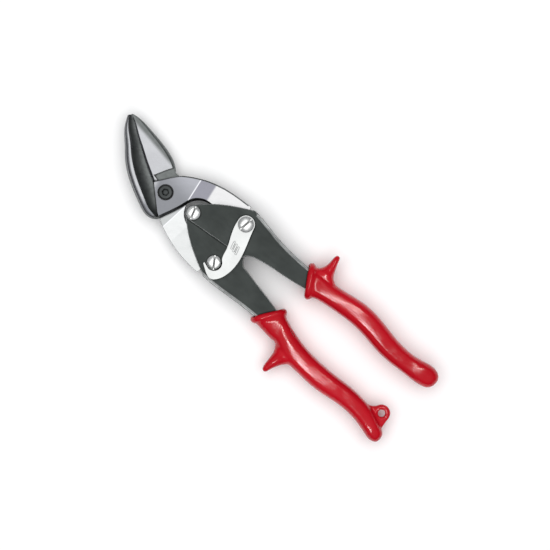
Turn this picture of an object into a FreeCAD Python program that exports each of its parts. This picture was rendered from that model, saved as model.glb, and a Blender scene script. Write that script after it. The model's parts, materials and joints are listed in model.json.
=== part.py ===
"""Offset aviation snips: two forged blades, two pressed steel channel handles, a latch and vinyl grips.

All sizes are in millimetres. The tool is drawn in its own tool frame: the blade pivot is near (0, 0), +Y points
from the grips to the jaws, +X to the right handle and +Z out of the latch side. The blades meet at z = 0.
At the end everything moves together, so that the origin is the bottom centre of the whole tool's box.

The upper blade carries the left jaw and the right tail, the lower blade the right jaw and the left tail.
Each tail is pinned to its own handle and the handles are pinned to each other, a kite of four pivots, drawn
closed, with the latch hooked over the catch screw.
"""

import FreeCAD, Part
import math
import os

V = FreeCAD.Vector
UP = V(0, 0, 1)

# ---- driving sizes -------------------------------------------------------------------------------------------
JAW_LENGTH = 47.5        # blade pivot to the jaws' tip
ARM_LENGTH = 123.6       # fork of the handles to the end of the steel inside the right grip
BLADE_T = 3.5            # thickness of each forged blade at its pivot plate
SHEAR_GAP = 0.05         # from the shear plane z = 0 to each blade
SHEET_T = 2.0            # handle sheet steel
INNER_HALF = 3.7         # half the free height between the two innermost handle cheeks
HANDLE_PIVOT_Y = -21.0   # handle pivot, behind the blade pivot
TAIL_PIVOT_Y = -49.57    # tail pivots, behind the blade pivot
TAIL_HALF_SPREAD = 14.85  # half the distance between the two tail pivots when closed
BLADE_PIVOT_X = -1.3     # the blade pivot sits a little to the left of the handle pivot

EDGE_ROUND = 0.9         # rounding of the blades' outer faces
BEVEL_W = 1.5            # bevel along the bolt plate's lower edge
BEVEL_H = 2.2
RELIEF_DEPTH = 1.3       # pocket behind the lower blade's cutting edge
BOLT_R = 3.0             # blade pivot bolt shank
BOLT_HEAD_R = 4.3
BOLT_HEAD_H = 2.4
BOLT_RECESS = 0.8        # depth of the counterbore that the bolt head sits in
SCREW_R = 2.5            # the three slotted screws' shanks
SCREW_HEAD_R = 4.2
SCREW_HEAD_H = 2.6
CATCH_HEAD_R = 4.4       # head of the catch screw, which the latch hooks
SLOT_W = 1.1
SLOT_DEPTH = 1.3
NUT_AF = 8.0             # across flats of the screws' nuts
NUT_H = 3.2
TIP_SHORT = 0.3          # a screw's tip stops this far inside its nut
PIVOT_NUT_AF = 10.0      # across flats of the blade pivot's lock nut
PIVOT_NUT_H = 4.0
WASHER_H = 0.8
RUN = 0.05               # radial running clearance of a pin in its hole, and gap between sliding faces
OPEN_PIVOT_CLEAR = 0.6   # radial clearance of the handle pivot's screw in the left handle

TAIL_BOSS_R = 6.3        # round end of each blade tail
SPACER_R = 4.8           # spacer rings each side of a tail
NOSE_R = 4.9             # rounded front of the handle cheeks round the handle pivot
SLEEVE_WALL = 0.6        # sleeve round the handle screw, inside the return spring
WIRE_R = 0.8             # return spring wire
COIL_CLEAR = 0.45        # sleeve to the inside of the coil, more than the open pivot's travel

LATCH_T = 1.6
LATCH_WASHER_T = 0.4
LATCH_EYE_R = 5.4        # round end of the latch
HOOK_CLEAR = 0.5         # inside of the latch hook to the catch screw's head
HOOK_OVER = 0.15         # underside of the latch to the top of the catch screw's head

GRIP_HALF_H = 9.4        # half the height of a grip
GRIP_CORE_CLEAR = 0.03   # grip to handle steel
HANG_HOLE_R = 2.3
HANG_EYE_R = 5.3
HANG_EYE_HALF_H = 3.5

# ---- places that follow from them ----------------------------------------------------------------------------
BLADE_PIVOT = V(BLADE_PIVOT_X, 0, 0)
HANDLE_PIVOT = V(0, HANDLE_PIVOT_Y, 0)
RIGHT_TAIL_PIVOT = V(TAIL_HALF_SPREAD, TAIL_PIVOT_Y, 0)
LEFT_TAIL_PIVOT = V(-TAIL_HALF_SPREAD, TAIL_PIVOT_Y, 0)

PLATE_BOTTOM = SHEAR_GAP
PLATE_TOP = SHEAR_GAP + BLADE_T
CHEEK_GAP = SHEAR_GAP * 2                       # between an inner and an outer cheek
INNER_CHEEK_TOP = INNER_HALF + SHEET_T
OUTER_CHEEK_IN = INNER_CHEEK_TOP + CHEEK_GAP
OUTER_CHEEK_TOP = OUTER_CHEEK_IN + SHEET_T
HANDLE_LOW = -INNER_CHEEK_TOP                   # right handle: lowest and highest face
HANDLE_HIGH = OUTER_CHEEK_TOP
HANDLE_MID = (HANDLE_LOW + HANDLE_HIGH) / 2     # a tail is centred in its handle
LATCH_BOTTOM = OUTER_CHEEK_TOP + RUN + LATCH_WASHER_T + RUN
LATCH_TOP = LATCH_BOTTOM + LATCH_T
CATCH_HEAD_TOP = LATCH_BOTTOM - HOOK_OVER
SLEEVE_R = SCREW_R + SLEEVE_WALL
COIL_R = SLEEVE_R + COIL_CLEAR + WIRE_R         # to the centre of the wire

# The outlines below are tables of the tool's shape. These are the ends that they were drawn to.
JAW_TIP_Y = 47.5
FORK_Y = -60.4
ARM_END_Y = -184.0


# ---- drawing helpers -----------------------------------------------------------------------------------------
def at(x, y, z=0.0):
    """A point in the tool frame."""
    return V(x, y, z)


def spline(points):
    """A smooth edge through (x, y) points."""
    curve = Part.BSplineCurve()
    curve.interpolate([at(*p) for p in points])
    return curve.toShape()


def line(a, b):
    return Part.LineSegment(at(*a), at(*b)).toShape()


def arc(a, mid, b):
    return Part.Arc(at(*a), at(*mid), at(*b)).toShape()


def on_circle(centre, radius, degrees):
    """The (x, y) point of a circle at an angle."""
    a = math.radians(degrees)
    return centre.x + radius * math.cos(a), centre.y + radius * math.sin(a)


def prism(edges, low, high):
    """The closed outline of these edges, filled from z = low to z = high."""
    face = Part.Face(Part.Wire(Part.__sortEdges__(edges)))
    solid = face.extrude(V(0, 0, high - low))
    solid.translate(V(0, 0, low))
    return solid


def polygon(points, low, high):
    return prism([line(a, b) for a, b in zip(points, points[1:] + points[:1])], low, high)


def disc(centre, radius, low, high):
    return Part.makeCylinder(radius, high - low, V(centre.x, centre.y, low), UP)


def ring(centre, outer, inner, low, high):
    return disc(centre, outer, low, high).cut(disc(centre, inner, low - 1, high + 1))


def hexagon(centre, across_flats, low, high):
    r = across_flats / math.sqrt(3)
    return polygon([on_circle(centre, r, 60 * k) for k in range(6)], low, high)


def rim_edges(solid, curves, height):
    """The solid's edges that follow one of the curves, seen from above, at height(x, y)."""
    guides = [spline(points) for points in curves]
    found = []
    for e in solid.Edges:
        middle = e.valueAt((e.FirstParameter + e.LastParameter) / 2)
        places = [v.Point for v in e.Vertexes] + [middle]
        level = all(abs(p.z - height(p.x, p.y)) < 1e-3 for p in places)
        near = [g for g in guides if g.distToShape(Part.Vertex(at(middle.x, middle.y)))[0] < 0.05]
        if level and near:
            found.append(e)
    return found


def offset_points(points, distance, samples=9):
    """Points of the smooth curve through points, moved to its left by distance."""
    curve = Part.BSplineCurve()
    curve.interpolate([at(*p) for p in points])
    moved = []
    for k in range(samples):
        u = curve.FirstParameter + (curve.LastParameter - curve.FirstParameter) * k / (samples - 1)
        t = curve.tangent(u)[0]
        p = curve.value(u)
        moved.append((p.x - t.y * distance, p.y + t.x * distance))
    return moved


def bevel(points, away, width, top, depth):
    """What a slanting bevel takes off along the curve through points, on its side towards the point away."""
    spare = 0.5          # how far the slope runs on past the solid, each way
    wires = []
    for moved in (-spare, width + spare):
        z = top - depth + depth * moved / width
        curve = Part.BSplineCurve()
        curve.interpolate([at(x, y, z) for x, y in offset_points(points, moved, 13)])
        first, last = curve.StartPoint, curve.EndPoint
        far = at(away[0], away[1], z)
        wires.append(Part.Wire([
            curve.toShape(),
            Part.LineSegment(last, far).toShape(),
            Part.LineSegment(far, first).toShape(),
        ]))
    return Part.makeLoft(wires, True, True)


def jaw_points(points):
    """Points drawn for a jaw whose tip is at JAW_TIP_Y, moved to suit JAW_LENGTH."""
    return [(x, y * JAW_LENGTH / JAW_TIP_Y if y > 0 else y) for x, y in points]


def arm_y(y):
    """A height along an arm drawn from FORK_Y to ARM_END_Y, moved to suit ARM_LENGTH."""
    return FORK_Y + (y - FORK_Y) * ARM_LENGTH / (FORK_Y - ARM_END_Y) if y < FORK_Y else y


def arm_points(points):
    return [(point[0], arm_y(point[1])) + tuple(point[2:]) for point in points]


def mirror_x(points):
    return [(-x, y) for x, y in points]


def flip(shape):
    """Turned over about the tool's long axis: x and z change sign."""
    turned = shape.copy()
    turned.rotate(V(0, 0, 0), V(0, 1, 0), 180)
    return turned


# ---- fasteners -----------------------------------------------------------------------------------------------
def slotted_head(centre, radius, low, high, slot_degrees):
    """A pan head with a domed top and a screwdriver slot."""
    dome_r = radius * 2.2
    dome = Part.makeSphere(dome_r, V(centre.x, centre.y, high - dome_r))
    head = disc(centre, radius, low, high + 1).common(dome)
    slot = Part.makeBox(4 * radius, SLOT_W, SLOT_DEPTH + 1, V(-2 * radius, -SLOT_W / 2, high - SLOT_DEPTH))
    slot.rotate(V(0, 0, 0), UP, slot_degrees)
    slot.translate(V(centre.x, centre.y, 0))
    return head.cut(slot)


def screw(centre, head_radius, head_low, head_high, tip, slot_degrees):
    head = slotted_head(centre, head_radius, head_low, head_high, slot_degrees)
    return head.fuse(disc(centre, SCREW_R, tip, head_low + 0.1)).removeSplitter()


def nut(centre, across_flats, height, high, bore):
    """A hexagon nut that hangs down from z = high, with its lower corners turned off."""
    low = high - height
    body = hexagon(centre, across_flats, low, high)
    corner_r = across_flats / math.sqrt(3)
    cone = Part.makeCone(across_flats / 2, corner_r * 1.6, corner_r * 0.75, V(centre.x, centre.y, low), UP)
    rest = disc(centre, corner_r * 1.6, low + corner_r * 0.75, high + 1)
    return body.common(cone.fuse(rest)).cut(disc(centre, bore, low - 1, high + 1))


# ---- blades --------------------------------------------------------------------------------------------------
# A jaw is a loft through upright sections. Each section runs from a point on the cutting side to a point on
# the outer side, and is: land (width, height), crest (distance in from the outer side, height).
LEFT_JAW = [
    # cutting side      outer side      land w, h    crest in, h
    ((21.5, 46.0), (19.6, 47.5), (0.25, 0.6), (0.9, 1.4)),
    ((20.6, 43.4), (16.8, 46.3), (0.5, 0.8), (1.6, 2.3)),
    ((19.2, 40.7), (13.2, 44.4), (0.7, 1.0), (2.4, 3.0)),
    ((14.2, 33.5), (5.9, 38.3), (0.9, 1.3), (3.6, 4.2)),
    ((9.3, 25.6), (-1.1, 32.1), (1.1, 1.5), (4.3, 5.0)),
    ((4.4, 17.6), (-7.3, 24.9), (1.3, 1.7), (4.6, 5.4)),
    ((0.2, 10.2), (-12.2, 17.0), (1.3, 1.9), (4.6, 5.6)),
    ((-4.4, 3.9), (-16.3, 8.9), (0.5, 2.0), (4.4, 5.4)),
    ((-8.4, -0.8), (-19.2, 1.2), (0.5, 2.2), (3.9, 5.0)),
    ((-11.6, -4.6), (-18.9, -3.2), (0.5, 2.2), (2.8, 4.4)),
    ((-13.6, -7.0), (-17.4, -5.9), (0.3, 1.8), (1.2, 2.8)),
    ((-14.6, -7.6), (-15.6, -7.1), (0.2, 1.2), (0.4, 1.4)),
]
RIGHT_JAW = [
    ((20.6, 46.4), (22.2, 45.8), (0.25, 0.6), (0.7, 1.3)),
    ((18.4, 41.2), (22.8, 39.6), (0.5, 1.0), (1.8, 2.8)),
    ((13.3, 34.0), (21.9, 31.6), (0.8, 1.3), (2.9, 4.0)),
    ((8.3, 26.1), (20.6, 23.6), (1.0, 1.5), (3.6, 4.8)),
    ((3.4, 18.0), (18.7, 15.2), (1.2, 1.7), (4.0, 5.2)),
    ((-0.6, 11.6), (14.8, 6.4), (1.2, 1.9), (4.0, 5.2)),
    ((-2.5, 8.6), (11.6, 3.3), (1.2, 1.9), (3.6, 4.4)),
]


def jaw_section(cut, out, land, crest, edge_round):
    """One upright section: flat shear face at the bottom, land, hollow flank, crest and rounded outer side."""
    direction = at(out[0] - cut[0], out[1] - cut[1])
    width = direction.Length
    direction.normalize()

    def p(u, z):
        return V(cut[0], cut[1], 0) + direction * u + V(0, 0, z + SHEAR_GAP)

    crest_u = width - crest[0]
    flank_mid_u = (land[0] + crest_u) / 2
    flank_mid_z = (land[1] + crest[1]) / 2 - 0.09 * (crest_u - land[0])
    side_z = edge_round * crest[1]
    flank = Part.Arc(p(land[0], land[1]), p(flank_mid_u, flank_mid_z), p(crest_u, crest[1])).toShape()
    rim = Part.Arc(
        p(crest_u, crest[1]),
        p(crest_u + 0.76 * crest[0], side_z + 0.66 * (crest[1] - side_z)),
        p(width, side_z),
    ).toShape()
    under = Part.Arc(p(width, side_z), p(width - 0.25 * crest[0], 0.28 * side_z), p(width - 0.9 * crest[0] * edge_round, 0))
    bottom = Part.LineSegment(p(width - 0.9 * crest[0] * edge_round, 0), p(0, 0)).toShape()
    bevel = Part.LineSegment(p(0, 0), p(land[0], land[1])).toShape()
    return Part.Wire([bevel, flank, rim, under.toShape(), bottom])


def jaw(stations, edge_round):
    sections = []
    for cut, out, land, crest in stations:
        cut, out = jaw_points([cut, out])
        sections.append(jaw_section(cut, out, land, crest, edge_round))
    return Part.makeLoft(sections, True, False)


UPPER_TAIL = [(12.0, -0.4), (15.2, -5.0), (18.2, -10.5), (20.6, -16.0), (22.7, -23.0), (24.4, -34.0), (24.9, -44.0)]
LOWER_TAIL = [(12.4, -2.0), (15.3, -7.0), (17.9, -11.0), (20.3, -16.5), (22.6, -23.0), (25.0, -34.0), (25.9, -44.0)]
UPPER_ARCH = [(0.4, -13.9), (3.6, -15.0), (6.6, -17.1), (8.9, -20.0), (10.1, -24.0)]
LOWER_ARCH = [(0.2, -14.6), (3.8, -16.4), (6.6, -19.6), (8.3, -24.9)]


def tail_edges(outer, arch_end):
    """From the tail's outer corner, round its boss and up its inner side to the end of the arch."""
    boss = RIGHT_TAIL_PIVOT
    corner = outer[-1]
    heel = (corner[0] - 0.5, corner[1] - 1.3)
    shoulder = (corner[0] - 2.4, corner[1] - 1.8)
    start = on_circle(boss, TAIL_BOSS_R, 28)
    turn = on_circle(boss, TAIL_BOSS_R, -80)
    end = on_circle(boss, TAIL_BOSS_R, 172)
    return [
        arc(corner, (corner[0] - 0.05, corner[1] - 0.8), heel),
        line(heel, shoulder),
        line(shoulder, start),
        arc(start, turn, end),
        spline([end, (9.4, -36.0), arch_end]),
    ]


def joggled(edges, rounded, shift, start, end):
    """A blade plate whose tail steps up or down by shift between the slanted lines at y = start and y = end.

    Its outer face's edges along the curves in rounded are rounded off.
    """
    far = 200.0
    tilt = math.radians(JOGGLE_TILT)
    step = end - start
    front = Part.makeBox(far, far, far, V(-far / 2, start, -far / 2))
    back = Part.makeBox(far, far, far, V(-far / 2, end - far, -far / 2))
    corners = [
        V(-far / 2, start, PLATE_BOTTOM),
        V(-far / 2, start, PLATE_TOP),
        V(-far / 2, end, PLATE_TOP + shift),
        V(-far / 2, end, PLATE_BOTTOM + shift),
    ]
    slope = Part.Face(Part.makePolygon(corners + corners[:1])).extrude(V(far, 0, 0))
    for piece in (front, back, slope):
        piece.rotate(V(0, start, 0), UP, JOGGLE_TILT)

    def slope_top(x, y):
        ahead = (y - start) * math.cos(tilt) - x * math.sin(tilt)
        return PLATE_TOP + shift * ahead / step

    level = prism(edges, PLATE_BOTTOM, PLATE_TOP)
    level = level.makeFillet(EDGE_ROUND, rim_edges(level, rounded, lambda x, y: PLATE_TOP))
    tail = level.copy()
    tail.translate(V(0, 0, shift))
    bend = slope.common(prism(edges, -far / 2, far / 2))
    bend = bend.makeFillet(EDGE_ROUND, rim_edges(bend, rounded, slope_top))
    return level.common(front).fuse([bend, tail.common(back)])


JOGGLE = HANDLE_MID - (PLATE_BOTTOM + PLATE_TOP) / 2
JOGGLE_START = -14.4
JOGGLE_END = -22.5
JOGGLE_TILT = -7.7       # degrees; the bend lines are not quite square to the tool


def drilled(blade, tail_pivot):
    """The blade with its two pivot holes."""
    blade = blade.cut(disc(BLADE_PIVOT, BOLT_R + RUN, -20, 20))
    return blade.cut(disc(tail_pivot, SCREW_R + RUN, -20, 20))


def upper_blade():
    """Left jaw, bolt plate and right tail. The bolt face stands a little above the jaw's hollow flank."""
    corner, heel = jaw_points([(-0.8, 9.7), (-13.6, -3.8)])
    behind = [(-15.6, -7.0), (-9.6, -9.8), (-4.4, -12.1), UPPER_ARCH[0]]
    right = jaw_points([(-0.8, 9.7), (4.2, 6.0), (8.6, 2.6), UPPER_TAIL[0]])
    outline = [line(corner, heel), line(heel, behind[0]), spline(behind), spline(UPPER_ARCH)]
    outline += [spline(right), spline(UPPER_TAIL)]
    outline += tail_edges(UPPER_TAIL, UPPER_ARCH[-1])
    plate = joggled(outline, [right, UPPER_TAIL], JOGGLE, JOGGLE_START, JOGGLE_END)
    blade = plate.fuse(jaw(LEFT_JAW, 0.42)).removeSplitter()
    lower_edge = [(-18.0, -6.0)] + behind[:-1] + UPPER_ARCH + [(9.9, -29.0), (9.6, -33.0)]
    blade = blade.cut(bevel(lower_edge, (-16.0, -45.0), BEVEL_W, PLATE_TOP, BEVEL_H))
    blade = blade.cut(disc(BLADE_PIVOT, BOLT_HEAD_R + 0.45, PLATE_TOP - BOLT_RECESS, 20))
    return drilled(blade, RIGHT_TAIL_PIVOT)


def lower_blade():
    """Right jaw, plate and left tail, drawn turned over, with its shear face down, and then flipped."""
    behind = [(-12.4, 6.0), (-11.6, 3.0), (-11.4, -1.0), (-9.6, -7.6), (-5.0, -12.2), LOWER_ARCH[0]]
    behind = jaw_points(behind)
    right = jaw_points([(0.8, 11.0), (4.8, 7.2), (9.0, 3.0), LOWER_TAIL[0]])
    outline = [line(right[0], behind[0]), spline(behind), spline(LOWER_ARCH), spline(right), spline(LOWER_TAIL)]
    outline += tail_edges(LOWER_TAIL, LOWER_ARCH[-1])
    plate = joggled(outline, [right, LOWER_TAIL], JOGGLE, JOGGLE_START, JOGGLE_END)
    mirrored = [((-c[0], c[1]), (-o[0], o[1]), land, crest) for c, o, land, crest in RIGHT_JAW]
    blade = plate.fuse(jaw(mirrored, 0.5)).removeSplitter()
    relief = [(-2.2, 12.3), (-10.2, 7.9), (-14.5, 5.0), (-14.5, -2.0), (-12.4, -2.4), (-1.0, 7.4)]
    pocket = polygon(jaw_points(relief), -1.0, PLATE_BOTTOM + RELIEF_DEPTH)
    return drilled(flip(blade.cut(pocket)), LEFT_TAIL_PIVOT)


# ---- handles -------------------------------------------------------------------------------------------------
# Plan of each handle: the cheeks' front, then the outer (palm) and inner (finger) sides of the channel arm.
CHEEK_FRONT = [(13.2, -28.6), (19.3, -38.2), (23.9, -47.2)]
WEB_TOP = -48.6          # the channel's web starts here; in front of it the cheeks stand free
CHEEK_FREE_SIDE = [(-2.6, -48.0), (-2.0, -60.4)]
RIGHT_OUTER = arm_points([
    (24.6, -49.4), (23.4, -58.0), (21.0, -70.0), (19.6, -82.0), (19.2, -94.0), (19.1, -104.0), (19.2, -113.0),
    (19.8, -123.0), (20.8, -132.0), (20.9, -140.0), (20.0, -149.0), (18.3, -159.0), (17.1, -168.0),
    (17.2, -177.0), (17.7, -184.0),
])
RIGHT_INNER = arm_points([
    (2.1, -64.2), (4.2, -73.0), (5.8, -86.0), (7.6, -99.0), (9.4, -108.0), (11.0, -116.0), (12.4, -126.0),
    (13.2, -136.0), (12.7, -146.0), (11.0, -156.0), (9.7, -165.0), (9.5, -173.0), (10.2, -184.0),
])
LEFT_OUTER = arm_points([
    (-25.5, -49.4), (-25.6, -58.0), (-24.8, -72.0), (-24.2, -86.0), (-24.4, -96.0), (-25.3, -106.0),
    (-27.0, -115.0), (-29.2, -125.0), (-30.4, -135.0), (-30.8, -144.0), (-30.3, -153.0), (-29.7, -162.0),
    (-29.9, -170.0), (-31.0, -177.0), (-32.6, -183.0),
])
LEFT_INNER = arm_points([
    (-5.4, -64.4), (-7.6, -74.0), (-10.6, -88.0), (-12.7, -97.0), (-15.2, -106.0), (-18.0, -115.0),
    (-21.0, -125.0), (-22.8, -135.0), (-23.4, -144.0), (-23.0, -153.0), (-22.5, -162.0), (-22.7, -170.0),
    (-24.0, -177.0), (-26.0, -183.0),
])
BEND_R = 2.4             # outside radius of the bend between cheek and web


def handle_plan(outer, inner):
    """The outline of a right handle as seen from the top."""
    front = on_circle(HANDLE_PIVOT, NOSE_R, 32)
    nose = on_circle(HANDLE_PIVOT, NOSE_R, 110)
    side = on_circle(HANDLE_PIVOT, NOSE_R, 185)
    free = CHEEK_FREE_SIDE
    return [
        arc(front, nose, side),
        spline([front] + CHEEK_FRONT),
        arc(CHEEK_FRONT[-1], (24.5, -48.1), outer[0]),
        spline(outer),
        line(outer[-1], inner[-1]),
        spline(inner),
        arc(inner[0], ((inner[0][0] + free[-1][0]) / 2 + 0.3, -61.9), free[-1]),
        line(free[-1], free[0]),
        line(free[0], side),
    ]


def channel(outer, inner, top_hole_r, low_hole_r):
    """A right-hand handle: two cheeks joined by a web along the outer side, open on the finger side."""
    block = prism(handle_plan(outer, inner), HANDLE_LOW, HANDLE_HIGH)
    bends = []
    for level in (HANDLE_LOW, HANDLE_HIGH):
        bends += rim_edges(block, [outer], lambda x, y: level)
    block = block.makeFillet(BEND_R, bends)
    web_line = offset_points(outer, -SHEET_T)
    reach = 60.0
    hollow = prism(
        [
            spline(web_line),
            line(web_line[-1], (web_line[-1][0] - reach, web_line[-1][1] - 5)),
            line((web_line[-1][0] - reach, web_line[-1][1] - 5), (-reach, 0)),
            line((-reach, 0), (reach, 0)),
            line((reach, 0), (reach, WEB_TOP)),
            line((reach, WEB_TOP), (web_line[0][0], WEB_TOP)),
            line((web_line[0][0], WEB_TOP), web_line[0]),
        ],
        HANDLE_LOW + SHEET_T,
        HANDLE_HIGH - SHEET_T,
    )
    handle = block.cut(hollow)
    handle = handle.cut(disc(RIGHT_TAIL_PIVOT, SCREW_R + RUN, -20, 20))
    handle = handle.cut(disc(HANDLE_PIVOT, top_hole_r, 0, 20))
    return handle.cut(disc(HANDLE_PIVOT, low_hole_r, -20, 0))


def arm_core(outer, inner, grown):
    """The solid envelope of a right handle's arm, grown a little: what its grip is moulded round."""
    side = 1 if outer[0][0] > inner[0][0] else -1
    edges = [
        spline([(x + side * grown, y) for x, y in outer]),
        line((outer[-1][0] + side * grown, outer[-1][1]), (inner[-1][0] - side * grown, inner[-1][1])),
        spline([(x - side * grown, y) for x, y in inner]),
        line((inner[0][0] - side * grown, inner[0][1]), (outer[0][0] + side * grown, outer[0][1])),
    ]
    return prism(edges, HANDLE_LOW - grown, HANDLE_HIGH + grown)


# ---- grips ---------------------------------------------------------------------------------------------------
# Stations along a grip: outer x, y, inner x, half height.
RIGHT_GRIP = arm_points([
    (21.5, -110.0, 7.4, 9.1), (22.3, -120.0, 8.9, 9.3), (23.8, -130.0, 9.8, 9.3), (24.3, -137.0, 10.0, 9.3),
    (23.8, -145.0, 9.4, 9.3), (21.9, -155.0, 7.8, 9.2), (20.0, -165.0, 6.8, 9.0), (19.4, -172.0, 6.9, 9.0),
    (20.0, -181.0, 7.3, 8.9), (21.6, -191.5, 8.1, 8.7),
])
LEFT_GRIP = arm_points([
    (-28.3, -105.0, -12.9, 9.0), (-30.2, -112.0, -15.4, 9.2), (-32.8, -120.0, -17.7, 9.3),
    (-33.6, -130.0, -19.4, 9.3), (-34.2, -140.0, -20.0, 9.3), (-33.7, -150.0, -19.95, 9.3),
    (-32.5, -160.0, -19.5, 9.1), (-32.4, -169.0, -19.9, 9.0), (-33.5, -177.0, -21.2, 8.8),
    (-35.6, -184.5, -23.9, 8.5), (-36.6, -189.0, -26.0, 8.3),
])
SQUARENESS = 2.6         # exponent of a grip's rounded section; 2 is an ellipse


def rounded_section(centre, across, half_w, half_h):
    """A rounded closed wire, half_w wide along the unit vector across and half_h high, round centre."""
    points = []
    count = 16
    for k in range(count):
        a = 2 * math.pi * k / count
        c, s = math.cos(a), math.sin(a)
        u = math.copysign(abs(c) ** (2 / SQUARENESS), c) * half_w
        w = math.copysign(abs(s) ** (2 / SQUARENESS), s) * half_h
        points.append(centre + across * u + UP * w)
    curve = Part.BSplineCurve()
    curve.interpolate(points, PeriodicFlag=True)
    return Part.Wire([curve.toShape()])


def grip_body(stations):
    """A loft through rounded sections, with its far end rounded off."""
    wires = []
    for outer_x, y, inner_x, half_h in stations:
        centre = at((outer_x + inner_x) / 2, y)
        wires.append(rounded_section(centre, at(1, 0), abs(outer_x - inner_x) / 2, half_h))
    outer_x, y, inner_x, half_h = stations[-1]
    before = stations[-2]
    drift = ((outer_x + inner_x) - (before[0] + before[2])) / 2 / (y - before[1])
    half_w = abs(outer_x - inner_x) / 2
    for turn in (40, 68, 84):
        a = math.radians(turn)
        reach = half_w * math.sin(a)
        centre = at((outer_x + inner_x) / 2 - reach * drift * 0.4, y - reach)
        wires.append(rounded_section(centre, at(1, 0), half_w * math.cos(a), half_h * math.cos(a) ** 0.8))
    return Part.makeLoft(wires, True, False)


def thumb_guard(stations):
    """A tapering guard that stands out sideways from a grip. Stations: x, y, half width, half height."""
    wires = [rounded_section(at(x, y), at(0, 1), half_w, half_h) for x, y, half_w, half_h in stations]
    x, y, half_w, half_h = stations[-1]
    out = math.copysign(1, x)
    for turn in (45, 80):
        a = math.radians(turn)
        centre = at(x + out * half_w * math.sin(a), y)
        wires.append(rounded_section(centre, at(0, 1), half_w * math.cos(a), half_h * math.cos(a) ** 0.5))
    return Part.makeLoft(wires, True, False)


def collar(start, end, half_h, thickness):
    """A rounded bead round the grip's mouth, from start to end as seen from the top."""
    a, b = at(*start), at(*end)
    across = (b - a).normalize()
    along = UP.cross(across)
    half_w = (b - a).Length / 2
    centre = (a + b) / 2
    wires = []
    for turn in (-80, -45, 0, 45, 80):
        r = math.radians(turn)
        shrink = thickness / 2 * (1 - math.cos(r))
        here = centre + along * (thickness / 2 * math.sin(r))
        wires.append(rounded_section(here, across, half_w - shrink, half_h - shrink))
    return Part.makeLoft(wires, True, False)


RIGHT_COLLAR = arm_points([(3.8, -106.7), (23.0, -94.9)])
LEFT_COLLAR = arm_points([(-27.6, -88.3), (-9.2, -102.0)])
COLLAR_T = 4.8
COLLAR_HALF_H = 9.9
RIGHT_GUARD = arm_points([
    (18.6, -107.2, 10.4, 8.3), (22.0, -105.9, 7.5, 7.3), (24.5, -105.5, 4.7, 6.3), (28.0, -105.4, 3.1, 5.2),
    (31.5, -104.9, 2.3, 4.4), (34.5, -104.5, 1.8, 3.5),
])
LEFT_GUARD = arm_points([
    (-26.5, -119.5, 10.4, 8.3), (-30.4, -118.2, 8.3, 7.6), (-33.4, -117.0, 5.7, 6.6), (-37.5, -115.4, 3.8, 5.4),
    (-41.0, -114.5, 2.8, 4.5), (-44.0, -114.1, 2.0, 3.6),
])
HANG_HOLE = V(-19.6, arm_y(-184.8), 0)
RIGHT_MOUTH = arm_points([(22.4, -97.2), (5.6, -106.8)])      # where the body of the grip meets its collar
LEFT_MOUTH = arm_points([(-27.4, -90.6), (-10.0, -101.4)])


def mouth_loft(mouth, station):
    """The short sleeve between the slanted collar and the first straight section."""
    a, b = at(*mouth[0]), at(*mouth[1])
    across = (b - a).normalize()
    if across.x < 0:
        across = across * -1
    first = rounded_section((a + b) / 2, across, (b - a).Length / 2 - 0.8, 8.8)
    outer_x, y, inner_x, half_h = station
    half_w = abs(outer_x - inner_x) / 2
    second = rounded_section(at((outer_x + inner_x) / 2, y), at(1, 0), half_w, half_h)
    return Part.makeLoft([first, second], True, False)


def grip(stations, mouth, collar_ends, guard, extra, core):
    """A grip at mid height zero: body, mouth, collar and guard in one, moulded round its handle's arm."""
    solid = grip_body(stations)
    for piece in [mouth_loft(mouth, stations[0]), collar(*collar_ends, COLLAR_HALF_H, COLLAR_T), thumb_guard(guard)]:
        solid = solid.fuse(piece)
    for piece in extra:
        solid = solid.fuse(piece)
    return solid.cut(core).removeSplitter()


def right_grip():
    core = arm_core(RIGHT_OUTER, RIGHT_INNER, GRIP_CORE_CLEAR)
    core.translate(V(0, 0, -HANDLE_MID))
    solid = grip(RIGHT_GRIP, RIGHT_MOUTH, RIGHT_COLLAR, RIGHT_GUARD, [], core)
    solid.translate(V(0, 0, HANDLE_MID))
    return solid


def left_grip():
    """The left grip also carries the hanging eye at its end."""
    web = [(-27, -173), (-20.7, -175.6), (-19.9, -177.8), (-18.2, -179.6), (-19.6, -190.0), (-28, -190.6)]
    neck = polygon(arm_points(web), -HANG_EYE_HALF_H + 0.4, HANG_EYE_HALF_H - 0.4)
    eye = disc(HANG_HOLE, HANG_EYE_R, -HANG_EYE_HALF_H, HANG_EYE_HALF_H)
    rims = [e for e in eye.Edges if abs(e.Length - 2 * math.pi * HANG_EYE_R) < 0.01]
    core = arm_core(LEFT_OUTER, LEFT_INNER, GRIP_CORE_CLEAR)
    core.translate(V(0, 0, -HANDLE_MID))
    extra = [neck, eye.makeFillet(1.6, rims)]
    solid = grip(LEFT_GRIP, LEFT_MOUTH, LEFT_COLLAR, LEFT_GUARD, extra, core)
    solid = solid.cut(disc(HANG_HOLE, HANG_HOLE_R, -20, 20))
    solid.translate(V(0, 0, -HANDLE_MID))
    return solid


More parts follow.
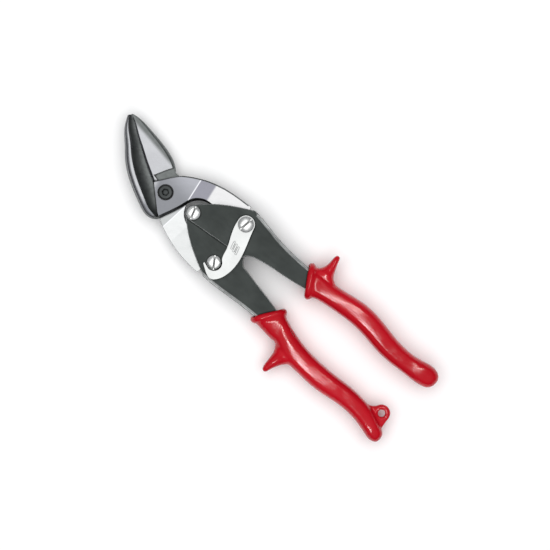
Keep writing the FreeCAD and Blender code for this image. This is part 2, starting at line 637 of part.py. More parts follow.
# ---- latch ---------------------------------------------------------------------------------------------------
def latch():
    """A flat hook: its eye turns on the right tail screw and its hook holds the catch screw's head."""
    eye, catch = RIGHT_TAIL_PIVOT, LEFT_TAIL_PIVOT
    hook_r = CATCH_HEAD_R + HOOK_CLEAR
    eye_low = on_circle(eye, LATCH_EYE_R, -78)
    eye_high = on_circle(eye, LATCH_EYE_R, 104)
    eye_side = on_circle(eye, LATCH_EYE_R, 12)
    seat_start = on_circle(catch, hook_r, -32)
    seat_mid = on_circle(catch, hook_r, -100)
    seat_end = on_circle(catch, hook_r, -185)
    tip = (-18.6, -45.3)
    body = prism(
        [
            arc(eye_low, eye_side, eye_high),
            spline([eye_high, (4.0, -47.0), (-4.6, -50.3), (-8.6, -51.2), seat_start]),
            arc(seat_start, seat_mid, seat_end),
            line(seat_end, (tip[0] + 0.3, tip[1] + 0.2)),
            arc((tip[0] + 0.3, tip[1] + 0.2), (tip[0] - 0.3, tip[1] + 0.5), (tip[0] - 1.0, tip[1])),
            spline([(tip[0] - 1.0, tip[1]), (-22.3, -49.4), (-23.7, -53.8), (-20.8, -57.6), (-15.4, -60.0),
                    (-8.0, -60.8), (0.0, -59.6), eye_low]),
        ],
        LATCH_BOTTOM,
        LATCH_TOP,
    )
    ribs = []
    for k in range(3):
        rib = Part.makeBox(5.0, 0.9, 0.5, V(-2.5, -0.45, 0))
        rib.rotate(V(0, 0, 0), UP, 15)
        rib.translate(V(0.4 - 0.5 * k, -51.6 - 2.0 * k, LATCH_TOP - 0.1))
        ribs.append(rib)
    return body.fuse(ribs).cut(disc(eye, SCREW_R + RUN, 0, 20))


# ---- spring, sleeves and fasteners in place ------------------------------------------------------------------
COIL_TURNS = 2.0
LEG_Z = 2.4              # height of the spring's legs below and above the middle


def sprung_wire(side, z_coil, z_leg, turns):
    """Spring wire: a coil round the handle pivot, ending in a straight leg to the inside of a tail's spacer."""
    spacer_inside = side * (RIGHT_TAIL_PIVOT.x - SPACER_R - WIRE_R - 0.12)
    end = at(spacer_inside, RIGHT_TAIL_PIVOT.y - 2.0)
    reach = end - HANDLE_PIVOT
    leave = math.atan2(reach.y, reach.x) + side * math.acos(COIL_R / reach.Length)
    steps = int(round(turns * 8))
    points = []
    for k in range(steps + 1):
        a = leave + side * 2 * math.pi * turns * (1 - k / steps)
        z = z_coil + (z_leg - z_coil) * k / steps
        points.append(V(HANDLE_PIVOT.x + COIL_R * math.cos(a), HANDLE_PIVOT.y + COIL_R * math.sin(a), z))
    tip = at(end.x, end.y, z_leg)
    last = points[-1]
    for share in (0.12, 0.45, 1.0):
        points.append(last + (tip - last) * share)
    path = Part.BSplineCurve()
    path.interpolate(points)
    start = path.tangent(path.FirstParameter)[0]
    profile = Part.Wire([Part.Circle(points[0], start, WIRE_R).toShape()])
    return Part.Wire([path.toShape()]).makePipeShell([profile], True, True)


def return_spring():
    """The coil and the right leg, which bears on the right tail's lower spacer."""
    return sprung_wire(1, LEG_Z - 2 * WIRE_R - 0.1, -LEG_Z, COIL_TURNS)


def spring_left_leg():
    """The last turn of the spring and its left leg, which turn with the left handle."""
    return sprung_wire(-1, LEG_Z, LEG_Z, 0.8)


def spacers(pivot, middle):
    """The two spacer rings that centre a tail between the cheeks of its handle, high one first."""
    half_tail = BLADE_T / 2
    half_gap = (HANDLE_HIGH - HANDLE_LOW) / 2 - SHEET_T
    high = ring(pivot, SPACER_R, SCREW_R + RUN, middle + half_tail + RUN, middle + half_gap - RUN)
    low = ring(pivot, SPACER_R, SCREW_R + RUN, middle - half_gap + RUN, middle - half_tail - RUN)
    return high, low


def pivot_bolt():
    """The blades' pivot: a round head with a hexagon socket, and a shank down to the lock nut's end."""
    low = PLATE_TOP - BOLT_RECESS + 0.02
    head = disc(BLADE_PIVOT, BOLT_HEAD_R, low, low + BOLT_HEAD_H)
    top = [e for e in head.Edges if len(e.Vertexes) == 1 and abs(e.CenterOfMass.z - low - BOLT_HEAD_H) < 1e-6]
    head = head.makeFillet(0.8, top)
    tip = -PLATE_TOP - WASHER_H - PIVOT_NUT_H + TIP_SHORT
    bolt = head.fuse(disc(BLADE_PIVOT, BOLT_R, tip, low + 0.1)).removeSplitter()
    return bolt.cut(hexagon(BLADE_PIVOT, 4.0, low + 0.7, low + BOLT_HEAD_H + 1))


def build():
    """Every node of the tool, by name."""
    nodes = {
        "upper_blade": upper_blade(),
        "lower_blade": lower_blade(),
        "right_handle": channel(RIGHT_OUTER, RIGHT_INNER, SCREW_R + RUN, SCREW_R + RUN),
        "left_handle": flip(channel(mirror_x(LEFT_OUTER), mirror_x(LEFT_INNER),
                                    SCREW_R + OPEN_PIVOT_CLEAR, SCREW_R + OPEN_PIVOT_CLEAR)),
        "right_grip": right_grip(),
        "left_grip": left_grip(),
        "latch": latch(),
        "return_spring": return_spring(),
        "return_spring_left_leg": spring_left_leg(),
    }
    nodes["blade_pivot_bolt"] = pivot_bolt()
    washer_top = -PLATE_TOP - RUN
    nodes["blade_pivot_washer"] = ring(BLADE_PIVOT, 6.2, BOLT_R + RUN, washer_top - WASHER_H, washer_top)
    nodes["blade_pivot_nut"] = nut(BLADE_PIVOT, PIVOT_NUT_AF, PIVOT_NUT_H, washer_top - WASHER_H - 0.02, BOLT_R + 0.01)

    low_nut_top = -OUTER_CHEEK_TOP - RUN
    high_nut_top = HANDLE_LOW - RUN
    head_low = OUTER_CHEEK_TOP + RUN
    nodes["handle_pivot_screw"] = screw(
        HANDLE_PIVOT, SCREW_HEAD_R, head_low, head_low + SCREW_HEAD_H, low_nut_top - NUT_H + TIP_SHORT, 17)
    nodes["handle_pivot_nut"] = nut(HANDLE_PIVOT, NUT_AF, NUT_H, low_nut_top, SCREW_R + 0.01)
    nodes["spring_sleeve"] = ring(HANDLE_PIVOT, SLEEVE_R, SCREW_R + RUN, -INNER_HALF + RUN, INNER_HALF - RUN)

    nodes["latch_screw"] = screw(
        RIGHT_TAIL_PIVOT, SCREW_HEAD_R + 0.3, LATCH_TOP + RUN, LATCH_TOP + RUN + SCREW_HEAD_H - 0.3,
        high_nut_top - NUT_H + TIP_SHORT, -9)
    nodes["latch_screw_nut"] = nut(RIGHT_TAIL_PIVOT, NUT_AF, NUT_H, high_nut_top, SCREW_R + 0.01)
    nodes["latch_washer"] = ring(
        RIGHT_TAIL_PIVOT, 5.0, SCREW_R + RUN, OUTER_CHEEK_TOP + RUN, OUTER_CHEEK_TOP + RUN + LATCH_WASHER_T)
    nodes["right_tail_spacer_high"], nodes["right_tail_spacer_low"] = spacers(RIGHT_TAIL_PIVOT, HANDLE_MID)

    nodes["catch_screw"] = screw(
        LEFT_TAIL_PIVOT, CATCH_HEAD_R, INNER_CHEEK_TOP + RUN, CATCH_HEAD_TOP, low_nut_top - NUT_H + TIP_SHORT, 33)
    nodes["catch_screw_nut"] = nut(LEFT_TAIL_PIVOT, NUT_AF, NUT_H, low_nut_top, SCREW_R + 0.01)
    nodes["left_tail_spacer_high"], nodes["left_tail_spacer_low"] = spacers(LEFT_TAIL_PIVOT, -HANDLE_MID)
    return nodes


def to_bottom_centre(nodes):
    """Moves all nodes so that the origin is the bottom centre of the tool's box. Returns the move."""
    box = FreeCAD.BoundBox()
    for shape in nodes.values():
        box.add(shape.optimalBoundingBox(False))
    move = V(-(box.XMin + box.XMax) / 2, -(box.YMin + box.YMax) / 2, -box.ZMin)
    for shape in nodes.values():
        shape.translate(move)
    return move


def main():
    nodes = build()
    move = to_bottom_centre(nodes)
    os.makedirs("parts", exist_ok=True)
    for name, shape in nodes.items():
        if not shape.isValid() or shape.Volume <= 0 or len(shape.Solids) != 1:
            print("check", name, "valid", shape.isValid(), "solids", len(shape.Solids), "volume", shape.Volume)
        shape.exportStep("parts/%s.step" % name)
    print("tool frame moved by", [round(c, 4) for c in move])
    pivots = {"blade": BLADE_PIVOT, "handle": HANDLE_PIVOT, "right tail": RIGHT_TAIL_PIVOT,
              "left tail": LEFT_TAIL_PIVOT, "hang hole": HANG_HOLE}
    for name, p in pivots.items():
        print(name, [round(c, 4) for c in p + move])


main()
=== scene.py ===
import json
import math

import bpy
from mathutils import Matrix, Vector

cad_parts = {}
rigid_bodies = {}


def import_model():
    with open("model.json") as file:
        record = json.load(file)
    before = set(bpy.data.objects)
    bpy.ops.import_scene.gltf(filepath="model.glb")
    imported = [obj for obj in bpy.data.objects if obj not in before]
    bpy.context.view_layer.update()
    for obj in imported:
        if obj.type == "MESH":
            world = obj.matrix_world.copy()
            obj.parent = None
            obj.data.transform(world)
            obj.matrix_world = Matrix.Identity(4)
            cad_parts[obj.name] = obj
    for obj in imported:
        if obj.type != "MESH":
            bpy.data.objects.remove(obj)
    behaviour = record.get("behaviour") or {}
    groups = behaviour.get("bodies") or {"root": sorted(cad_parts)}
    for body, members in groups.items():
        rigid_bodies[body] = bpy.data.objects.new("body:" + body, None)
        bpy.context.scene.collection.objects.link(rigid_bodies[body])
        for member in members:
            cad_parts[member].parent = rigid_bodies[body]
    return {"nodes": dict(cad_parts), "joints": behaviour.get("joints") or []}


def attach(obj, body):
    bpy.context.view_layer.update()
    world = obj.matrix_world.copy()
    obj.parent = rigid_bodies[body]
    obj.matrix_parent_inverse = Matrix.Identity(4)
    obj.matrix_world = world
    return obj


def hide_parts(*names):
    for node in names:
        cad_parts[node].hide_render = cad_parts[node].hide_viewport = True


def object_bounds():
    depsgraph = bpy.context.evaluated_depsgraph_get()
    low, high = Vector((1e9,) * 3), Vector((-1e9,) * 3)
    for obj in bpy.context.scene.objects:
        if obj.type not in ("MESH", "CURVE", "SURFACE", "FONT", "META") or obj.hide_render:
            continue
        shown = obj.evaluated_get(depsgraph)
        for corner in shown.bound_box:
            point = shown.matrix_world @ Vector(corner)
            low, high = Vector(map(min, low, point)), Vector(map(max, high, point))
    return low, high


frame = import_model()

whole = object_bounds()
nodes = frame["nodes"]
low, high = Vector(whole[0]), Vector(whole[1])

MM_PER_M = 1000.0


# ---- places, all read from the frame ------------------------------------------------------------------
def joint_place(name):
    for joint in frame["joints"]:
        if joint["name"] == name:
            return Vector(joint["pos_m"])
    raise ValueError(name)


blade_pivot = joint_place("blade_pivot")


# ---- material helpers ---------------------------------------------------------------------------------
def new_material(name):
    material = bpy.data.materials.new(name)
    material.use_nodes = True
    tree = material.node_tree
    tree.nodes.clear()
    out = tree.nodes.new("ShaderNodeOutputMaterial")
    shader = tree.nodes.new("ShaderNodeBsdfPrincipled")
    tree.links.new(shader.outputs["BSDF"], out.inputs["Surface"])
    return material, tree, shader


def feed(tree, socket, value):
    """Give an input socket a value, or link another node's output to it."""
    if isinstance(value, bpy.types.NodeSocket):
        tree.links.new(value, socket)
    else:
        socket.default_value = value


def node(tree, kind, inputs=None, **settings):
    """A new node with some settings; inputs are values or other nodes' output sockets."""
    made = tree.nodes.new(kind)
    for key, value in settings.items():
        setattr(made, key, value)
    for key, value in (inputs or {}).items():
        feed(tree, made.inputs[key], value)
    return made


def node_of(tree, kind):
    return [n for n in tree.nodes if n.bl_idname == kind][0]


def math_node(tree, operation, a, b):
    return node(tree, "ShaderNodeMath", {0: a, 1: b}, operation=operation).outputs[0]


def both(tree, a, b):
    return math_node(tree, "MULTIPLY", a, b)


def inverse(tree, a):
    return math_node(tree, "SUBTRACT", 1.0, a)


def remap(tree, value, a, b, to_a=0.0, to_b=1.0):
    """Value from a..b to to_a..to_b, smoothly and clamped."""
    inputs = {"Value": value, "From Min": a, "From Max": b, "To Min": to_a, "To Max": to_b}
    return node(tree, "ShaderNodeMapRange", inputs, interpolation_type="SMOOTHSTEP").outputs["Result"]


def mix_colour(tree, factor, a, b):
    made = node(tree, "ShaderNodeMix", data_type="RGBA", blend_type="MIX")
    for key, value in (("Factor", factor), ("A", a), ("B", b)):
        sockets = [s for s in made.inputs if s.name == key and (s.type == "RGBA") == (key != "Factor")]
        feed(tree, sockets[0], value)
    return [s for s in made.outputs if s.type == "RGBA"][0]


def rgb(r, g, b):
    return (r, g, b, 1.0)


def shaded(colour, factor, added=0.0):
    """A colour made lighter or darker, as far as white."""
    return rgb(*[min(1.0, c * factor + added) for c in colour])


def object_position(tree, scale=(1, 1, 1), turn=0.0):
    """The point in the row frame, turned about Z and then scaled."""
    place = tree.nodes.new("ShaderNodeTexCoord")
    turned = node(tree, "ShaderNodeMapping", {"Vector": place.outputs["Object"], "Rotation": (0, 0, turn)})
    scaled = node(tree, "ShaderNodeMapping", {"Vector": turned.outputs["Vector"], "Scale": scale})
    return scaled.outputs["Vector"]


def object_height(tree):
    place = tree.nodes.new("ShaderNodeTexCoord")
    return node(tree, "ShaderNodeSeparateXYZ", {"Vector": place.outputs["Object"]}).outputs["Z"]


def noise(tree, vector, scale, detail=3.0, roughness=0.55):
    inputs = {"Vector": vector, "Scale": scale, "Detail": detail, "Roughness": roughness}
    return node(tree, "ShaderNodeTexNoise", inputs).outputs["Fac"]


def lean(tree, normal, direction):
    """How far a normal leans towards a direction, from -1 to 1."""
    dot = node(tree, "ShaderNodeVectorMath", {0: normal, 1: direction}, operation="DOT_PRODUCT")
    return dot.outputs["Value"]


def soft_edges(tree, radius):
    """(normal rounded over edges, how close the point is to an edge)."""
    rounded = node(tree, "ShaderNodeBevel", {"Radius": radius}, samples=6).outputs["Normal"]
    plain = tree.nodes.new("ShaderNodeNewGeometry").outputs["Normal"]
    return rounded, remap(tree, inverse(tree, lean(tree, rounded, plain)), 0.01, 0.22)


def own_normal(tree):
    """The rounded normal in the object's own axes, so that a mask stays put when its body moves."""
    rounded = node_of(tree, "ShaderNodeBevel").outputs["Normal"]
    turned = node(tree, "ShaderNodeVectorTransform", {"Vector": rounded}, vector_type="NORMAL",
                  convert_from="WORLD", convert_to="OBJECT")
    return turned.outputs["Vector"]


def facing_up(tree, normal):
    return node(tree, "ShaderNodeSeparateXYZ", {"Vector": normal}).outputs["Z"]


def along(tree, start, direction):
    """Distance in millimetres from a point of the row frame, measured along a flat direction."""
    place = tree.nodes.new("ShaderNodeTexCoord")
    moved = node(tree, "ShaderNodeVectorMath", {0: place.outputs["Object"], 1: tuple(start)},
                 operation="SUBTRACT")
    return math_node(tree, "MULTIPLY", lean(tree, moved.outputs["Vector"], direction), MM_PER_M)


def bumped(tree, height, distance, normal=None):
    inputs = {"Height": height, "Distance": distance, "Strength": 1.0}
    if normal is not None:
        inputs["Normal"] = normal
    return node(tree, "ShaderNodeBump", inputs).outputs["Normal"]


CREVICE_REACH = 0.0018


def crevice_shade(tree):
    """Mask for painted shade: 1 deep in slots, sockets and gaps, 0 in the open."""
    open_sky = node(tree, "ShaderNodeAmbientOcclusion", {"Distance": CREVICE_REACH}, samples=8)
    return remap(tree, open_sky.outputs["AO"], 0.80, 0.50)


def dress(material, *names):
    for name in names:
        mesh = nodes[name].data
        mesh.materials.clear()
        mesh.materials.append(material)


# ---- metals -------------------------------------------------------------------------------------------
SPECK_COLOUR = (0.06, 0.06, 0.06)


def metal_layers(name, colour, roughness, grain=(1, 1, 1), turn=0.0, grain_height=0.000006,
                 edge_radius=0.00035, edge_colour=None, edge_amount=0.5, mottle=0.12, spots=0.0):
    """Metal with drawn-out grain, cloudy variation, edges that are a little rounded and worn bright, and
    painted shade in its slots, sockets and gaps.

    Returns the material, its shader and the sockets of its colour and roughness.
    """
    material, tree, shader = new_material(name)
    normal, edge = soft_edges(tree, edge_radius)
    fine = noise(tree, object_position(tree, grain, turn), 900, 4.0)
    cloud = noise(tree, object_position(tree), 70, 4.0)
    smudge = noise(tree, object_position(tree, (1.0, 0.35, 1.0), turn), 160, 5.0, 0.7)
    base = mix_colour(tree, remap(tree, cloud, 0.3, 0.7), shaded(colour, 1 - mottle),
                      shaded(colour, 1 + mottle))
    worn = rgb(*edge_colour) if edge_colour else shaded(colour, 1.25, 0.05)
    wear = both(tree, edge, remap(tree, smudge, 0.35, 0.6, 0.35, 1.0))
    base = mix_colour(tree, both(tree, wear, edge_amount), base, worn)
    if spots:
        speck = remap(tree, noise(tree, object_position(tree), 1300, 2.0), 0.70, 0.76)
        base = mix_colour(tree, both(tree, speck, spots), base, rgb(*SPECK_COLOUR))
    # Painted shade: slots, sockets and gaps darkened to a tenth of the colour.
    base = mix_colour(tree, crevice_shade(tree), base, shaded(colour, 0.10))
    rough = math_node(tree, "ADD", roughness, remap(tree, smudge, 0.3, 0.75, -0.05, 0.09))
    rough = math_node(tree, "ADD", rough, remap(tree, fine, 0.2, 0.8, -0.02, 0.03))
    feed(tree, shader.inputs["Base Color"], base)
    feed(tree, shader.inputs["Roughness"], rough)
    feed(tree, shader.inputs["Metallic"], 1.0)
    feed(tree, shader.inputs["Normal"], bumped(tree, fine, grain_height, normal))
    return material, shader, base, rough


def metal(name, colour, roughness, **settings):
    return metal_layers(name, colour, roughness, **settings)[0]


# Blades: lengths are in millimetres from the blade pivot unless they say metres, and x is mirrored where a
# blade's tail is on the left.
JAW_TURN = math.radians(-32)        # the jaws lie this far from the tool's length
TO_TAIL = (0.134, -0.991)           # from the pivot to the tail
RAGGED = 1.2                        # how far the border between two finishes wanders
PLATE_FADES_IN = (-10.0, -6.0)      # towards the tail, from the jaw's finish to the plate's
PLATE_BLEND = (2.0, 17.0)           # outwards over the plate, from its first colour to its second
SLOPE_START = 14.4                  # the plate turns down here
SLOPE_END = 22.5
TURN_HIGHLIGHT = (0.9, 0.4)                  # a painted highlight line along the turn lies this far ahead of it
TURN_HIGHLIGHT_AMOUNT = 0.6
TURN_HIGHLIGHT_COLOUR = (0.75, 0.75, 0.78)
SHARP = 0.2                         # half the width of a crisp border
# dark grey for the upper jaw's hollow and for painted shade on walls, rim and pocket
DARK_FLANK_AND_SHADE = (0.115, 0.124, 0.121)
# near-black for painted shade in the blades' slots and gaps
BLADE_CREVICE_SHADE = (0.05, 0.05, 0.05)
RIM_POINT = Vector((0.0200, 0.0152, 0))     # on the lower blade's outer rim, in metres from the pivot
RIM_OUT = (0.986, -0.166, 0)
POCKET_DEPTH = (0.0004, 0.0009)     # in metres under the pivot's height


def blade_plate(tree, base, normal, towards_tail, ragged, side, near, slope, tail):
    """The ground plate round the bolt, the slope behind it and the tail, each with its own grey; the slope's
    grey is painted light and shade of its tilt.
    """
    out = math_node(tree, "ADD", along(tree, blade_pivot, (side, 0, 0)), ragged)
    past_turn = remap(tree, towards_tail, SLOPE_START - SHARP, SLOPE_START + SHARP)
    colour = mix_colour(tree, remap(tree, out, *PLATE_BLEND), rgb(*near[0]), rgb(*near[1]))
    # The slope's grey is painted light and shade of its tilt.
    colour = mix_colour(tree, past_turn, colour, rgb(*slope))
    colour = mix_colour(tree, remap(tree, towards_tail, SLOPE_END + 0.4, SLOPE_END + 2.0), colour, rgb(*tail))
    behind = math_node(tree, "ADD", towards_tail, ragged)
    flat = both(tree, remap(tree, facing_up(tree, normal), 0.90, 0.97), remap(tree, behind, *PLATE_FADES_IN))
    base = mix_colour(tree, flat, base, colour)
    # Painted highlight: a bright line just ahead of the turn down to the tail, on flat faces only.
    turn_highlight = both(tree, remap(tree, towards_tail, SLOPE_START - TURN_HIGHLIGHT[0], SLOPE_START - TURN_HIGHLIGHT[1]),
                 inverse(tree, past_turn))
    return mix_colour(tree, both(tree, both(tree, turn_highlight, flat), TURN_HIGHLIGHT_AMOUNT), base, rgb(*TURN_HIGHLIGHT_COLOUR))


def hollow_darkening(tree, cut):
    """The upper blade's jaw is darkened in its hollow, between the ground land and the flank, on faces that
    lean part way towards its cutting edge.
    """
    return both(tree, remap(tree, cut, 0.06, 0.16), inverse(tree, remap(tree, cut, 0.60, 0.70)))


def rim_and_pocket_shade(tree, cut, behind):
    """Painted shade on the lower blade's jaw: on its rounded outer rim and in the pocket beside the bolt."""
    skin = remap(tree, cut, -0.05, -0.20)
    rim = remap(tree, along(tree, blade_pivot + RIM_POINT, RIM_OUT), -5.2, -2.4)
    skin = math_node(tree, "MAXIMUM", skin, both(tree, rim, remap(tree, behind, -4.0, -7.0)))
    sunk = remap(tree, object_height(tree), blade_pivot.z - POCKET_DEPTH[0], blade_pivot.z - POCKET_DEPTH[1])
    return math_node(tree, "MAXIMUM", skin, both(tree, sunk, remap(tree, behind, 4.0, 2.0)))


def blade_steel(name, side, plate, cut_lean, dark_rim):
    """Forged steel with ground faces; painted shade darkens its steep walls and the lower jaw's rim and
    pocket, and the upper jaw is darkened in its hollow.

    side is 1 where the blade's tail is on the right and -1 where it is on the left. plate holds the colours of
    the plate beside the bolt, of the slope down to the tail and of the tail. cut_lean points across the jaw,
    from its outer side to its cutting edge.
    """
    material, shader, base, rough = metal_layers(
        name, (0.36, 0.365, 0.38), 0.20, grain=(1.0, 0.06, 1.0), turn=JAW_TURN, grain_height=0.000004,
        edge_radius=0.0005, edge_colour=(0.85, 0.85, 0.86), edge_amount=0.5, mottle=0.05)
    tree = material.node_tree
    normal = own_normal(tree)
    up = facing_up(tree, normal)
    cut = lean(tree, normal, cut_lean)
    towards_tail = along(tree, blade_pivot, (side * TO_TAIL[0], TO_TAIL[1], 0))
    streaks = noise(tree, object_position(tree, (1.0, 0.25, 1.0), JAW_TURN), 90, 4.0)
    ragged = remap(tree, streaks, 0.3, 0.7, -RAGGED, RAGGED)
    behind = math_node(tree, "ADD", towards_tail, ragged)
    base = blade_plate(tree, base, normal, towards_tail, ragged, side, *plate)

    # The lower jaw gets painted shade on its rim and pocket; the upper jaw is darkened in its hollow.
    skin = rim_and_pocket_shade(tree, cut, behind) if dark_rim else hollow_darkening(tree, cut)
    # Painted shade on steep walls, except those that lean well towards the cutting edge.
    wall_shade = both(tree, inverse(tree, remap(tree, up, 0.45, 0.80)), inverse(tree, remap(tree, cut, 0.58, 0.66)))
    skin = math_node(tree, "MAXIMUM", skin, wall_shade)
    # Darken the upper jaw's hollow and paint shade on walls, rim and pocket, in uneven patches.
    patchy = remap(tree, noise(tree, object_position(tree), 420, 5.0, 0.7), 0.25, 0.75, 0.86, 1.0)
    base = mix_colour(tree, both(tree, skin, patchy), base, rgb(*DARK_FLANK_AND_SHADE))
    # Painted shade in the blades' slots and gaps.
    base = mix_colour(tree, crevice_shade(tree), base, rgb(*BLADE_CREVICE_SHADE))
    feed(tree, shader.inputs["Base Color"], base)
    feed(tree, shader.inputs["Roughness"], math_node(tree, "ADD", rough, both(tree, skin, 0.12)))
    return material


# Each holds the plate's two greys, the slope's grey, which is painted light and shade of its tilt, and the
# tail's grey.
UPPER_PLATE = (((0.17, 0.175, 0.19), (0.28, 0.285, 0.31)), (0.20, 0.20, 0.23), (0.50, 0.50, 0.505))
LOWER_PLATE = (((0.34, 0.35, 0.355), (0.36, 0.37, 0.37)), (0.52, 0.53, 0.53), (0.48, 0.49, 0.49))
dress(blade_steel("steel_upper_blade", 1, UPPER_PLATE, (0.848, -0.529, 0), False), "upper_blade")
dress(blade_steel("steel_lower_blade", -1, LOWER_PLATE, (-0.94, 0.34, 0), True), "lower_blade")


def painted_bend_highlight(material):
    """Painted highlight on the outside of a bend: faces tilted part way from upward get a near-white colour in
    patches, and the steeper wall below keeps its own dark colour.
    """
    tree = material.node_tree
    colour_in = node_of(tree, "ShaderNodeBsdfPrincipled").inputs["Base Color"]
    up = facing_up(tree, own_normal(tree))
    bend = both(tree, remap(tree, up, 0.985, 0.93), remap(tree, up, 0.45, 0.62))
    highlight_patches = remap(tree, noise(tree, object_position(tree, (1.0, 0.3, 1.0)), 260, 4.0), 0.3, 0.6, 0.55, 1.0)
    base = mix_colour(tree, both(tree, bend, highlight_patches), colour_in.links[0].from_socket, rgb(0.90, 0.92, 0.91))
    feed(tree, colour_in, base)


handle_finish = metal("gunmetal_handles", (0.042, 0.047, 0.045), 0.38, grain=(1.0, 0.3, 1.0),
                      grain_height=0.00001, edge_radius=0.0009, edge_colour=(0.80, 0.82, 0.81),
                      edge_amount=0.95, mottle=0.10, spots=0.25)
# Painted highlight on the handles' bends.
painted_bend_highlight(handle_finish)
dress(handle_finish, "right_handle", "left_handle")

bright = metal("bright_zinc", (0.51, 0.52, 0.515), 0.17, grain=(1.0, 0.2, 1.0), grain_height=0.000004,
               edge_radius=0.0003, edge_colour=(0.95, 0.95, 0.95), mottle=0.05, spots=0.05)
dress(bright, "latch", "latch_washer")

polished = metal("polished_screws", (0.80, 0.81, 0.80), 0.20, grain=(1.0, 0.2, 1.0), grain_height=0.000004,
                 edge_radius=0.0003, edge_colour=(0.95, 0.95, 0.95), mottle=0.08, spots=0.1)
dress(polished, "handle_pivot_screw", "latch_screw", "catch_screw")

plain = metal("plain_zinc", (0.58, 0.59, 0.58), 0.30, grain_height=0.00001, edge_radius=0.0003, mottle=0.12,
              spots=0.2)
dress(plain, "handle_pivot_nut", "latch_screw_nut", "catch_screw_nut", "blade_pivot_washer", "blade_pivot_nut",
      "right_tail_spacer_high", "right_tail_spacer_low", "left_tail_spacer_high", "left_tail_spacer_low",
      "spring_sleeve")

dark_bolt = metal("black_oxide_bolt", (0.06, 0.065, 0.065), 0.34, grain_height=0.00001, edge_radius=0.0003,
                  edge_colour=(0.25, 0.26, 0.26), edge_amount=0.6, mottle=0.2, spots=0.2)
dress(dark_bolt, "blade_pivot_bolt")

spring_wire = metal("spring_wire", (0.35, 0.35, 0.36), 0.28, grain_height=0.00001, edge_radius=0.0002,
                    mottle=0.2, spots=0.3)
dress(spring_wire, "return_spring", "return_spring_left_leg")


# ---- vinyl grips --------------------------------------------------------------------------------------
def vinyl(name):
    """Glossy dip-moulded vinyl: a smooth skin with a faint ripple, and duller handled patches."""
    material, tree, shader = new_material(name)
    cloud = noise(tree, object_position(tree, (1.0, 0.4, 1.0)), 60, 4.0)
    ripple = noise(tree, object_position(tree, (1.0, 0.5, 1.0)), 130, 2.0, 0.4)
    pores = noise(tree, object_position(tree), 2600, 3.0)
    handled = noise(tree, object_position(tree), 220, 5.0, 0.65)
    settings = {
        "Base Color": mix_colour(tree, remap(tree, cloud, 0.3, 0.7), rgb(0.52, 0.004, 0.013),
                                 rgb(0.60, 0.006, 0.018)),
        "Roughness": math_node(tree, "ADD", 0.12, remap(tree, handled, 0.35, 0.75, -0.03, 0.07)),
        "Normal": bumped(tree, pores, 0.000006, bumped(tree, ripple, 0.00012)),
        "IOR": 1.52,
        "Specular IOR Level": 0.25,
        "Coat Weight": 0.0,
        "Subsurface Weight": 0.06,
        "Subsurface Radius": (0.004, 0.0006, 0.0006),
    }
    for key, value in settings.items():
        feed(tree, shader.inputs[key], value)
    return material


SKIN_VOXEL = 0.0006
SKIN_PASSES = 14


def moulded(node_name, body, material):
    """The grip as one flowing skin: the guard, bead and eye run into the body as moulded vinyl does."""
    mesh = nodes[node_name].data.copy()
    mesh.materials.clear()
    skin = bpy.data.objects.new(node_name + "_skin", mesh)
    bpy.context.scene.collection.objects.link(skin)
    remesh = skin.modifiers.new("one skin", "REMESH")
    remesh.mode = "VOXEL"
    remesh.voxel_size = SKIN_VOXEL
    remesh.use_smooth_shade = True
    smooth = skin.modifiers.new("flow", "SMOOTH")
    smooth.factor = 0.5
    smooth.iterations = SKIN_PASSES
    bpy.context.view_layer.update()
    made = bpy.data.meshes.new_from_object(skin.evaluated_get(bpy.context.evaluated_depsgraph_get()))
    skin.modifiers.clear()
    skin.data = made
    made.materials.clear()
    made.materials.append(material)
    made.shade_smooth()
    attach(skin, body)
    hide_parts(node_name)
    return skin


red = vinyl("red_vinyl")
grips = [moulded("right_grip", "right_handle", red), moulded("left_grip", "left_handle", red)]


# ---- floor and surroundings ---------------------------------------------------------------------------
FLOOR_SIZE = 4.0
FLOOR_GAP = 0.0002


def floor_plane():
    mesh = bpy.data.meshes.new("floor")
    s = FLOOR_SIZE / 2
    mesh.from_pydata([(-s, -s, 0), (s, -s, 0), (s, s, 0), (-s, s, 0)], [], [(0, 1, 2, 3)])
    floor = bpy.data.objects.new("floor", mesh)
    bpy.context.scene.collection.objects.link(floor)
    floor.location.z = low.z - FLOOR_GAP
    material, tree, shader = new_material("floor_white")
    shade = noise(tree, object_position(tree), 9, 2.0)
    feed(tree, shader.inputs["Base Color"],
         mix_colour(tree, shade, rgb(0.955, 0.955, 0.955), rgb(0.965, 0.965, 0.965)))
    feed(tree, shader.inputs["Roughness"], 0.8)
    feed(tree, shader.inputs["Specular IOR Level"], 0.1)
    mesh.materials.append(material)
    return floor


DOME_LEVELS = (0.10, 0.60)          # strength of the surroundings low down and overhead
FLAG_DIRECTION = (0.62, -0.38, 0.69)
FLAG_LEVEL = 0.70


def studio_world():
    """A soft tent: brightest overhead and dim low down, with a flag that darkens one patch of it."""
    world = bpy.data.worlds.new("studio")
    bpy.context.scene.world = world
    world.use_nodes = True
    tree = world.node_tree
    tree.nodes.clear()
    out = tree.nodes.new("ShaderNodeOutputWorld")
    back = tree.nodes.new("ShaderNodeBackground")
    tree.links.new(back.outputs[0], out.inputs["Surface"])
    place = tree.nodes.new("ShaderNodeTexCoord").outputs["Generated"]
    up = node(tree, "ShaderNodeSeparateXYZ", {"Vector": place}).outputs["Z"]
    dome = remap(tree, up, 0.25, 0.95, *DOME_LEVELS)
    flag = remap(tree, lean(tree, place, FLAG_DIRECTION), 0.80, 0.95, 1.0, FLAG_LEVEL)
    feed(tree, back.inputs["Strength"], both(tree, dome, flag))
    feed(tree, back.inputs["Color"],
         mix_colour(tree, remap(tree, up, 0.3, 1.0), rgb(0.93, 0.95, 1.0), rgb(1.0, 1.0, 1.0)))


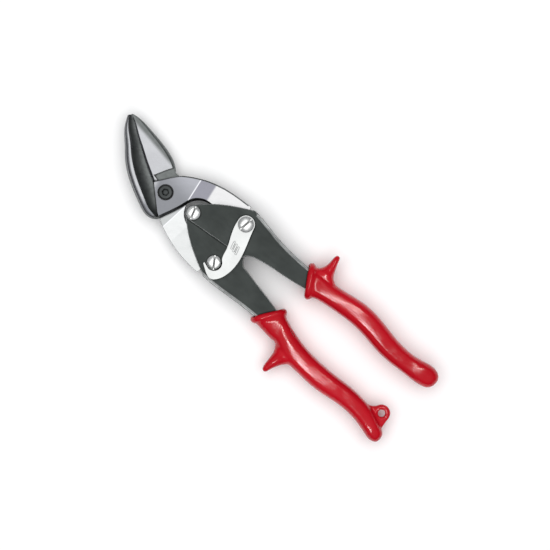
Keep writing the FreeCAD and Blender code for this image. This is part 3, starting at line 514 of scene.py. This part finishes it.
# ---- camera -------------------------------------------------------------------------------------------
PHOTO_TURN = math.radians(40)       # the tool's length lies this far off the picture's horizontal
LENS = 135.0
SENSOR = 36.0
VIEW_WIDTH = (high.y - low.y) * 1.334
VIEW_CENTRE = (0.594, 0.472)        # as fractions of the tool's width and length


def main_camera():
    data = bpy.data.cameras.new("camera")
    data.lens = LENS
    data.sensor_width = SENSOR
    camera = bpy.data.objects.new("camera", data)
    bpy.context.scene.collection.objects.link(camera)
    right = Vector((math.sin(PHOTO_TURN), -math.cos(PHOTO_TURN), 0))
    up = Vector((math.cos(PHOTO_TURN), math.sin(PHOTO_TURN), 0))
    back = right.cross(up)
    distance = VIEW_WIDTH * LENS / SENSOR
    centre = Vector((low.x + (high.x - low.x) * VIEW_CENTRE[0], low.y + (high.y - low.y) * VIEW_CENTRE[1],
                     high.z))
    turn = Matrix((right, up, back)).transposed().to_4x4()
    camera.matrix_world = Matrix.Translation(centre + back * distance) @ turn
    bpy.context.scene.camera = camera


# ---- lights: each reaches only some of the objects ----------------------------------------------------
def area_light(name, place, target, size_x, size_y, power, reaches, colour=(1, 1, 1)):
    data = bpy.data.lights.new(name, "AREA")
    data.shape = "RECTANGLE"
    data.size = size_x
    data.size_y = size_y
    data.energy = power
    data.color = colour
    lamp = bpy.data.objects.new(name, data)
    bpy.context.scene.collection.objects.link(lamp)
    lamp.visible_camera = False
    lamp.light_linking.receiver_collection = reaches
    direction = (Vector(target) - Vector(place)).normalized()
    lamp.matrix_world = Matrix.Translation(place) @ direction.to_track_quat("-Z", "Y").to_matrix().to_4x4()


floor = floor_plane()
studio_world()
main_camera()

floor_only = bpy.data.collections.new("floor_fill")
all_but_grips = bpy.data.collections.new("metals_and_floor")
grips_only = bpy.data.collections.new("grip_shine")
floor_only.objects.link(floor)
for thing in bpy.context.scene.objects:
    if thing.type == "MESH":
        (grips_only if thing in grips else all_but_grips).objects.link(thing)

WARM = (1.0, 0.93, 0.88)
area_light("softbox", (0, 0, 1.9), (0, 0, 0), 2.2, 2.2, 18.0, all_but_grips)
area_light("floor_light", (0, 0, 1.5), (0, 0, 0), 2.2, 2.2, 14.5, floor_only)
area_light("left_strip", (-0.40, -0.08, 1.6), (0, -0.08, 0), 0.07, 1.1, 9.5, grips_only)
area_light("right_strip", (0.62, -0.08, 1.6), (0, -0.08, 0), 0.05, 1.1, 7.0, grips_only, WARM)
bpy.context.scene.view_settings.view_transform = "Standard"
